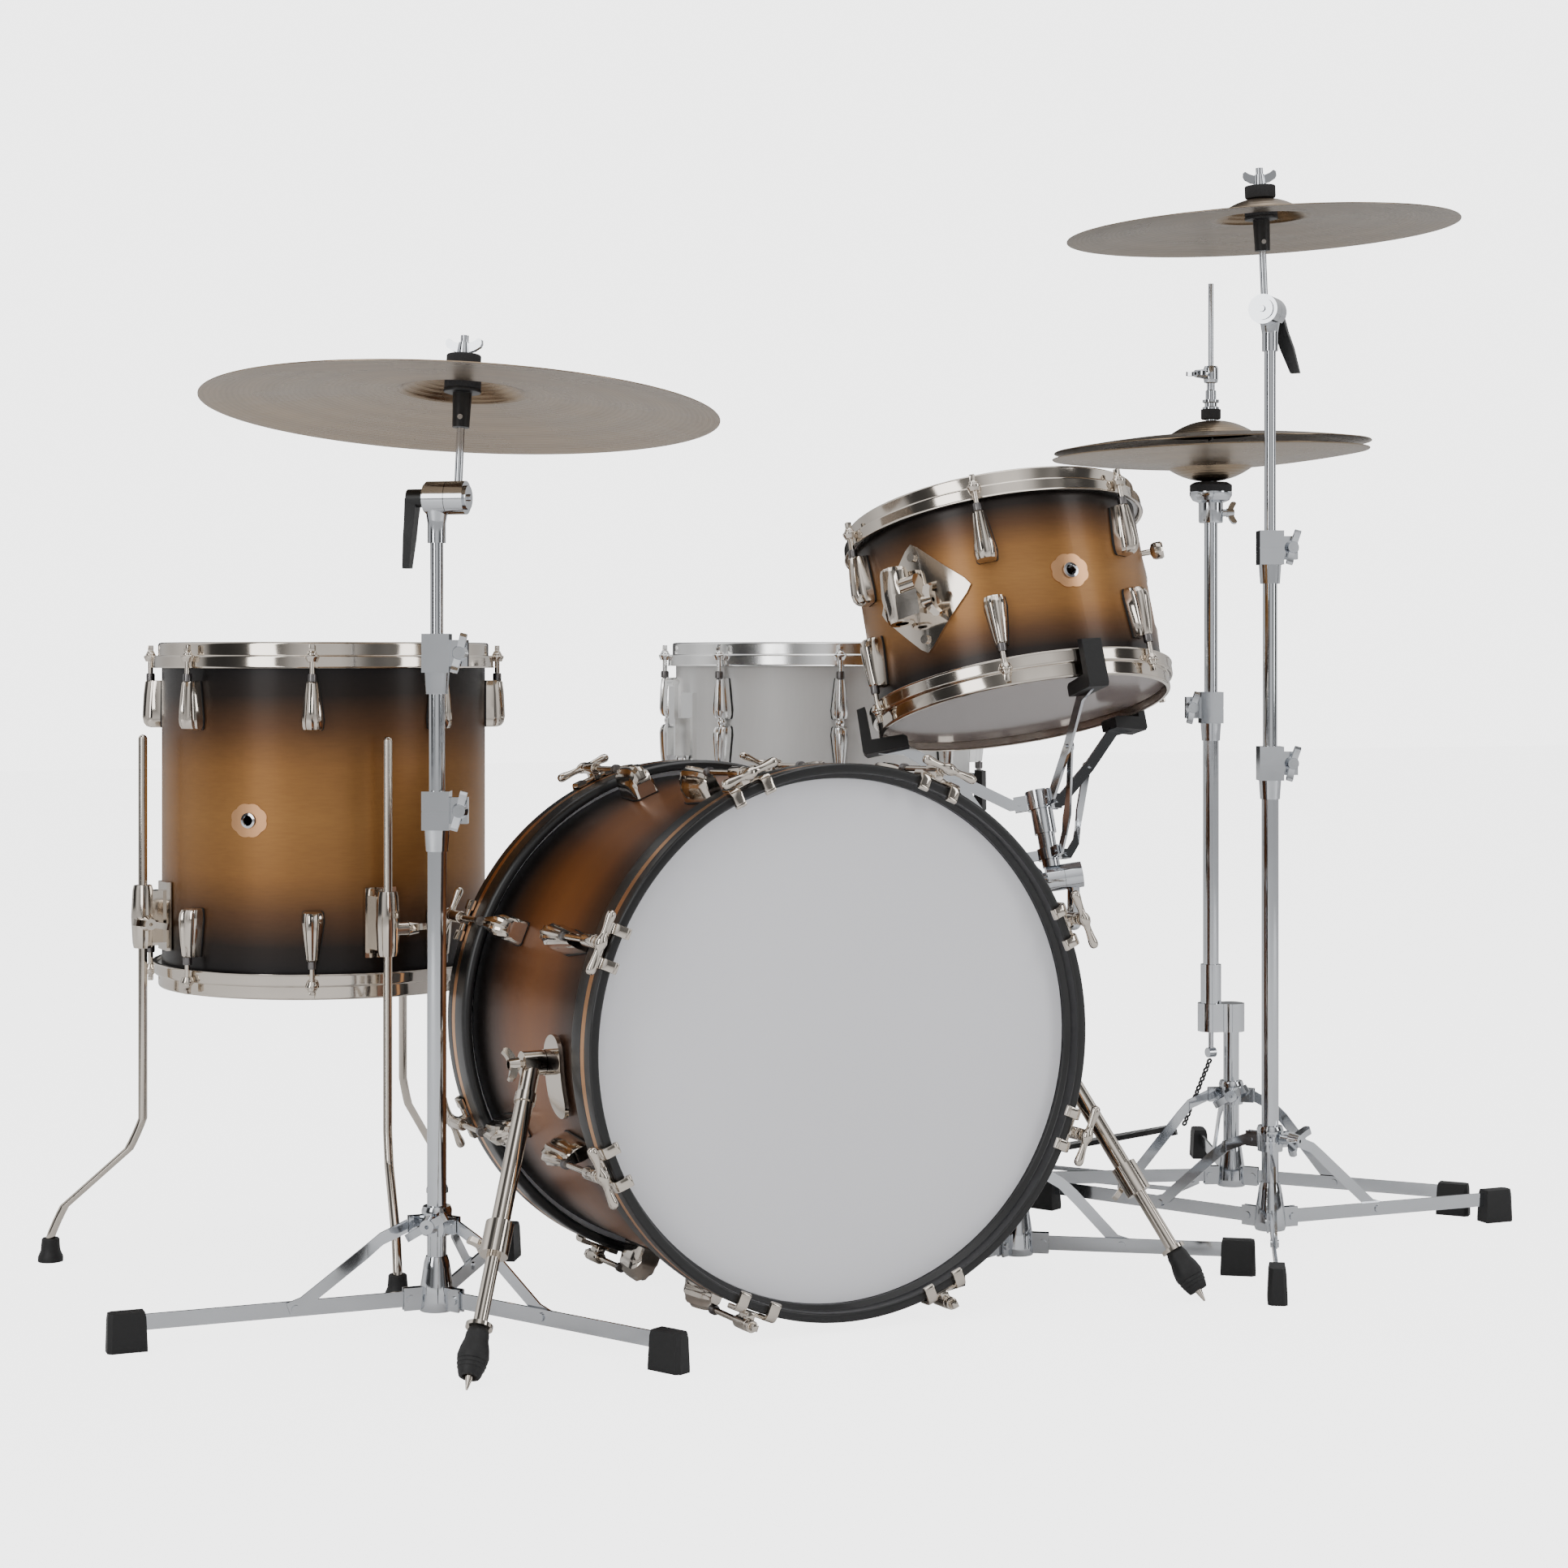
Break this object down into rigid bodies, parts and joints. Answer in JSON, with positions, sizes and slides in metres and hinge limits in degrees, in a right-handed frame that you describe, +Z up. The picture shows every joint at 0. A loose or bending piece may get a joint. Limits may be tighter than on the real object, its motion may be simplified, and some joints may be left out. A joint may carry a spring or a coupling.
{
  "type": "acoustic drum kit",
  "caption": "Acoustic drum kit: kick drum on spurs, tom in a basket stand, legged floor tom, snare, and cymbals and hi-hat on low tripod stands.",
  "frame": {"origin": "on the floor, under the middle of the kit's overall box", "axes": "+Z up; +X to the right of someone facing the kit, along the row's longest extent; the kick drum's front head faces -Y and the player sits at +Y"},
  "size_m": [1.6012, 0.9598, 1.196],
  "materials": {
    "burst_lacquer": "satin lacquer over wood, dark at the edges and bronze in the middle",
    "ghost_lacquer": "pale satin lacquer",
    "kick_head": "smooth white film",
    "clear_head": "clear film",
    "coated_head": "coated white film",
    "black_hoop": "satin black lacquer",
    "copper_inlay": "satin copper",
    "nickel": "polished nickel",
    "pale_nickel": "pale polished nickel",
    "chrome": "polished chrome",
    "rubber": "moulded black rubber",
    "bronze": "hammered and lathed bronze"
  },
  "bodies": {
    "kit": {"kick_shell": "burst_lacquer", "kick_heads": "kick_head", "kick_hoops": "black_hoop", "kick_hoop_inlays": "copper_inlay", "kick_lugs": "nickel", "kick_claws": "nickel", "kick_rods": "nickel", "spur_brackets": "nickel", "floor_tom_shell": "burst_lacquer", "floor_tom_heads": "coated_head", "floor_tom_hoops": "nickel", "floor_tom_lugs": "nickel", "floor_tom_rods": "nickel", "floor_tom_badge": "copper_inlay", "floor_tom_brackets": "nickel", "drum_stand_bases": "chrome", "stand_legs": "chrome", "stand_braces": "chrome", "stand_boots": "rubber", "cymbal_stand_bases": "chrome", "hihat_base": "chrome"},
    "spur_left": {"spur_arm_left": "nickel"},
    "spur_tip_left": {"spur_rod_left": "nickel"},
    "spur_right": {"spur_arm_right": "nickel"},
    "spur_tip_right": {"spur_rod_right": "nickel"},
    "floor_leg_1": {"floor_tom_leg_1": "nickel"},
    "floor_leg_2": {"floor_tom_leg_2": "nickel"},
    "floor_leg_3": {"floor_tom_leg_3": "nickel"},
    "tom_post": {"tom_stand_post": "chrome"},
    "tom_basket": {"tom_basket": "chrome", "tom_basket_grips": "rubber", "rack_tom_shell": "burst_lacquer", "rack_tom_heads": "clear_head", "rack_tom_hoops": "nickel", "rack_tom_lugs": "nickel", "rack_tom_rods": "nickel", "rack_tom_badge": "copper_inlay", "rack_tom_mount": "nickel"},
    "snare_basket": {"snare_basket": "chrome", "snare_shell": "ghost_lacquer", "snare_heads": "coated_head", "snare_hoops": "pale_nickel", "snare_lugs": "pale_nickel", "snare_rods": "pale_nickel", "snare_strainer": "pale_nickel"},
    "strainer_lever": {"snare_strainer_lever": "pale_nickel"},
    "ride_middle": {"ride_stand_middle_tube": "chrome"},
    "ride_upper": {"ride_stand_upper_tube": "chrome"},
    "ride_tilter": {"ride_tilter": "chrome"},
    "ride_cymbal": {"ride_cymbal": "bronze"},
    "crash_middle": {"crash_stand_middle_tube": "chrome"},
    "crash_upper": {"crash_stand_upper_tube": "chrome"},
    "crash_tilter": {"crash_tilter": "chrome"},
    "crash_cymbal": {"crash_cymbal": "bronze"},
    "hihat_upper": {"hihat_upper_tube": "chrome", "hihat_bottom_cymbal": "bronze"},
    "hihat_rod": {"hihat_pull_rod": "chrome", "hihat_clutch": "chrome"},
    "hihat_top": {"hihat_top_cymbal": "bronze"},
    "hihat_pedal": {"hihat_footboard": "chrome"}
  },
  "joints": [
    {"name": "spur_fold_left", "type": "hinge", "parent": "kit", "child": "spur_left", "pos_m": [-0.41747, -0.26451, 0.262], "axis": [-1, 0, 0], "range_deg": [0, 95]},
    {"name": "spur_extend_left", "type": "slide", "parent": "spur_left", "child": "spur_tip_left", "axis": [-0.3735, -0.491, -0.7871], "range_m": [0, 0.06]},
    {"name": "spur_fold_right", "type": "hinge", "parent": "kit", "child": "spur_right", "pos_m": [0.15052, -0.26451, 0.262], "axis": [-1, 0, 0], "range_deg": [0, 95]},
    {"name": "spur_extend_right", "type": "slide", "parent": "spur_right", "child": "spur_tip_right", "axis": [0.2948, -0.5058, -0.8108], "range_m": [0, 0.06]},
    {"name": "floor_tom_leg_1_height", "type": "slide", "parent": "kit", "child": "floor_leg_1", "axis": [0, 0, 1], "range_m": [-0.09, 0]},
    {"name": "floor_tom_leg_2_height", "type": "slide", "parent": "kit", "child": "floor_leg_2", "axis": [0, 0, 1], "range_m": [-0.09, 0]},
    {"name": "floor_tom_leg_3_height", "type": "slide", "parent": "kit", "child": "floor_leg_3", "axis": [0, 0, 1], "range_m": [-0.09, 0]},
    {"name": "tom_stand_height", "type": "slide", "parent": "kit", "child": "tom_post", "axis": [0, 0, 1], "range_m": [0, 0.08]},
    {"name": "tom_basket_tilt", "type": "hinge", "parent": "tom_post", "child": "tom_basket", "pos_m": [0.15752, -0.27951, 0.421], "axis": [0.8971, -0.4156, 0.15], "range_deg": [-12, 10]},
    {"name": "snare_stand_height", "type": "slide", "parent": "kit", "child": "snare_basket", "axis": [0, 0, 1], "range_m": [0, 0.08]},
    {"name": "strainer_throw", "type": "hinge", "parent": "snare_basket", "child": "strainer_lever", "pos_m": [-0.04837, 0.23346, 0.575], "axis": [0.0332, -0.9995, 0], "range_deg": [0, 70]},
    {"name": "ride_stand_lower_height", "type": "slide", "parent": "kit", "child": "ride_middle", "axis": [0, 0, 1], "range_m": [0, 0.12]},
    {"name": "ride_stand_upper_height", "type": "slide", "parent": "ride_middle", "child": "ride_upper", "axis": [0, 0, 1], "range_m": [0, 0.06]},
    {"name": "ride_tilt", "type": "hinge", "parent": "ride_upper", "child": "ride_tilter", "pos_m": [-0.47381, -0.18089, 0.808], "axis": [0.788, -0.6157, 0], "range_deg": [-25, 25]},
    {"name": "ride_cymbal_spin", "type": "hinge", "parent": "ride_tilter", "child": "ride_cymbal", "pos_m": [-0.46593, -0.18705, 0.808], "axis": [0.0691, 0.0653, 0.9955], "continuous": true},
    {"name": "crash_stand_lower_height", "type": "slide", "parent": "kit", "child": "crash_middle", "axis": [0, 0, 1], "range_m": [0, 0.12]},
    {"name": "crash_stand_upper_height", "type": "slide", "parent": "crash_middle", "child": "crash_upper", "axis": [0, 0, 1], "range_m": [0, 0.06]},
    {"name": "crash_tilt", "type": "hinge", "parent": "crash_upper", "child": "crash_tilter", "pos_m": [0.47209, -0.21945, 1.039], "axis": [-0.7771, -0.6293, 0], "range_deg": [-25, 25]},
    {"name": "crash_cymbal_spin", "type": "hinge", "parent": "crash_tilter", "child": "crash_cymbal", "pos_m": [0.46432, -0.22574, 1.039], "axis": [-0.0488, 0.0003, 0.9988], "continuous": true},
    {"name": "hihat_height", "type": "slide", "parent": "kit", "child": "hihat_upper", "axis": [0, 0, 1], "range_m": [-0.06, 0]},
    {"name": "hihat_rod_travel", "type": "slide", "parent": "kit", "child": "hihat_rod", "axis": [0, 0, -1], "range_m": [0, 0.005]},
    {"name": "hihat_footboard", "type": "hinge", "parent": "kit", "child": "hihat_pedal", "pos_m": [0.42582, 0.2525, 0.024], "axis": [0.829, 0.5592, 0], "range_deg": [0, 1.2]},
    {"name": "hihat_top_cymbal_spin", "type": "hinge", "parent": "hihat_rod", "child": "hihat_top", "pos_m": [0.57232, 0.03529, 0.94], "axis": [-0.031, 0.015, 0.9994], "continuous": true}
  ],
  "couplings": [
    {"joint": "hihat_rod_travel", "follows": "hihat_footboard", "m_per_rad": 0.227}
  ]
}
